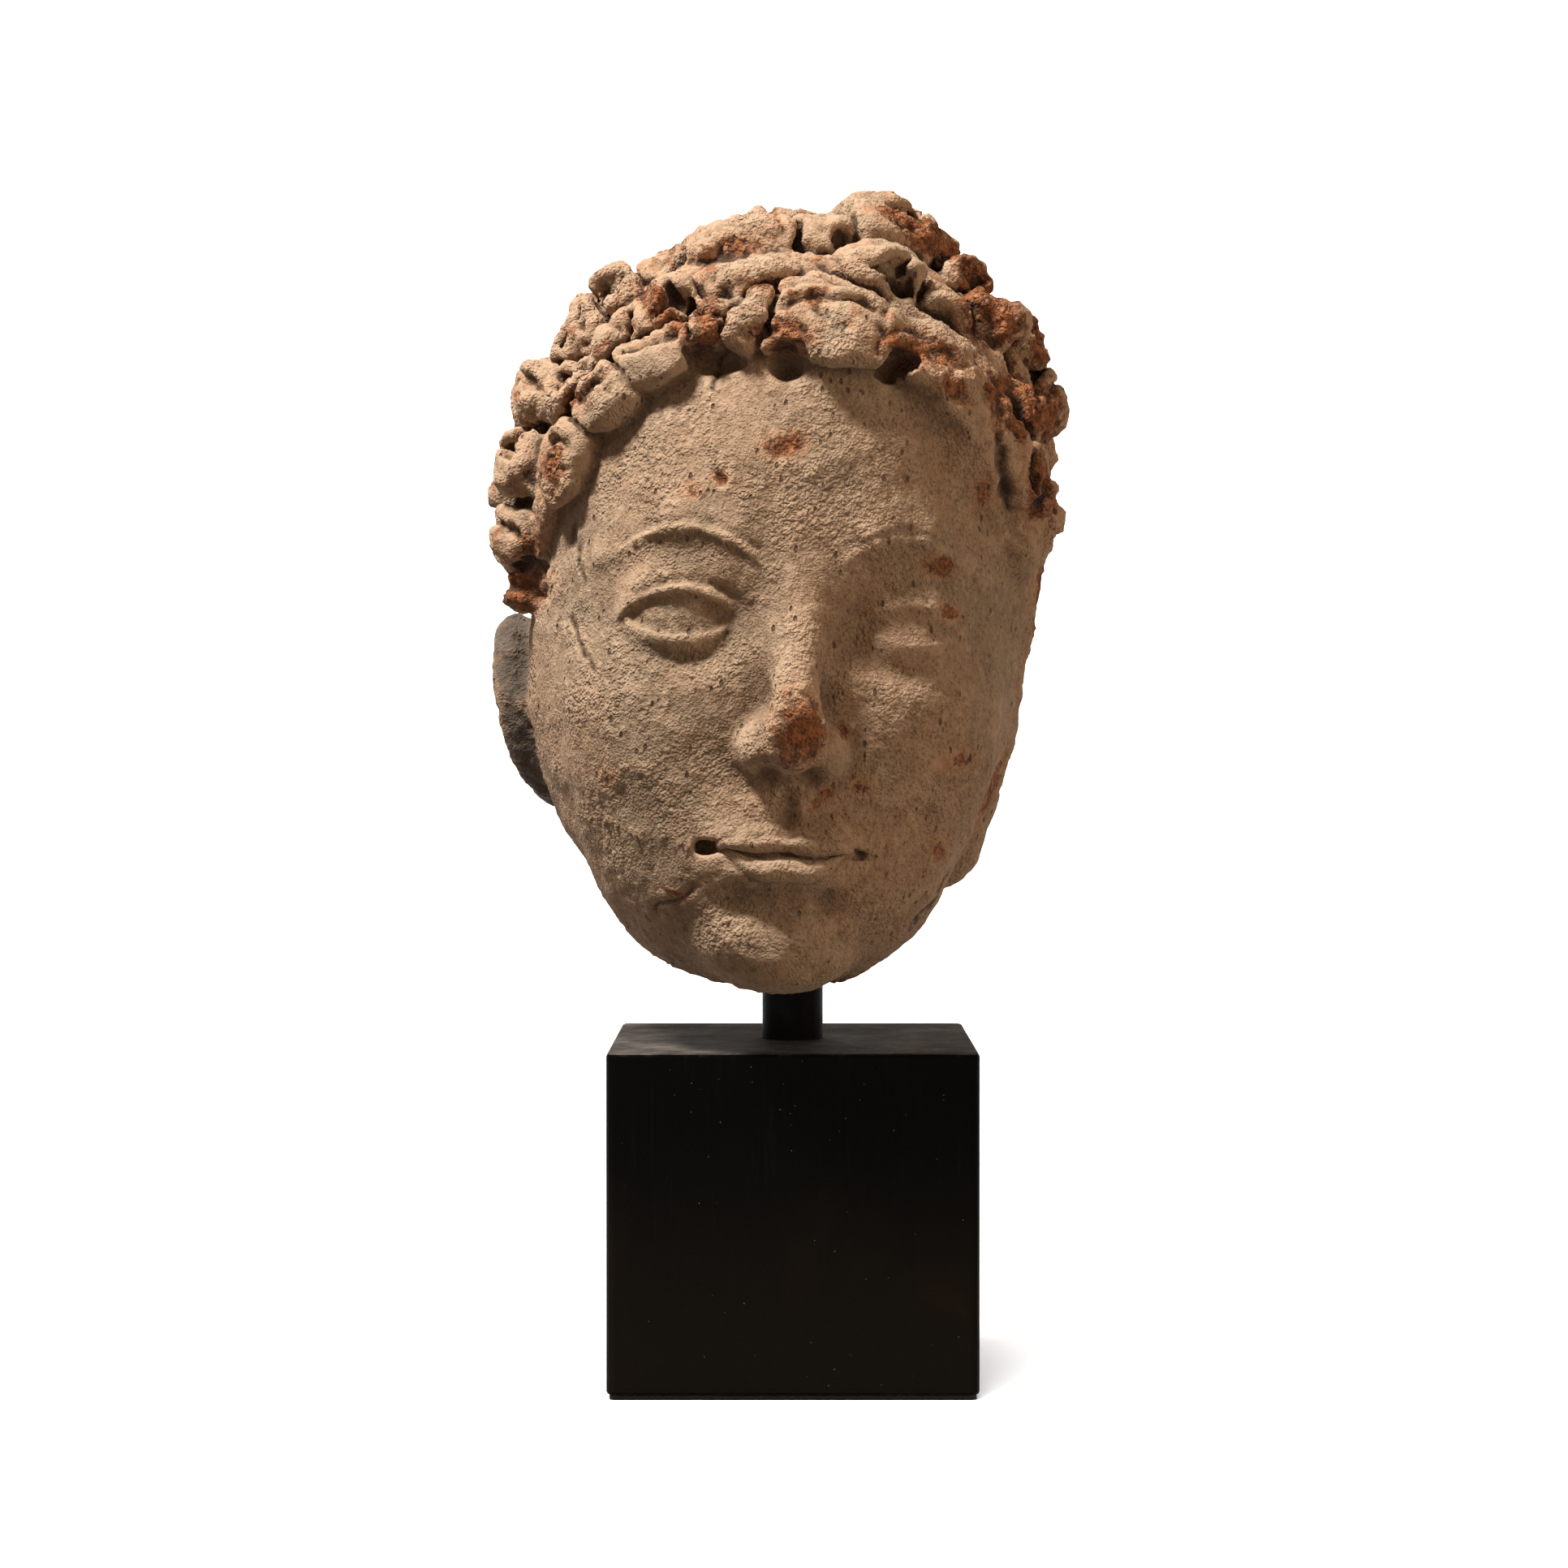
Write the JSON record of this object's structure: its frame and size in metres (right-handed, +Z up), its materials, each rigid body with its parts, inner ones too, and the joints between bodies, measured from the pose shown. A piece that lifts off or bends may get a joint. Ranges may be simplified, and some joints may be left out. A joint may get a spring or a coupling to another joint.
{
  "type": "terracotta buddha head",
  "caption": "Weathered terracotta head of a Buddha with curled hair, held by a round rod above a square black block.",
  "frame": {"origin": "middle of the felt's underside, on the surface the block stands on", "axes": "+Z up along the rod, -Y the way the face looks, +X towards the side of the head whose ear is lost"},
  "size_m": [0.164, 0.1791, 0.3293],
  "materials": {
    "terracotta": "matte, weathered fired clay, grey-tan over an orange-red body",
    "black_lacquer": "black stained and lacquered, low satin",
    "black_steel": "blackened, satin",
    "felt": "black felt"
  },
  "bodies": {
    "root": {"felt_pad": "felt", "base_block": "black_lacquer", "support_rod": "black_steel", "head": "terracotta"}
  },
  "joints": []
}
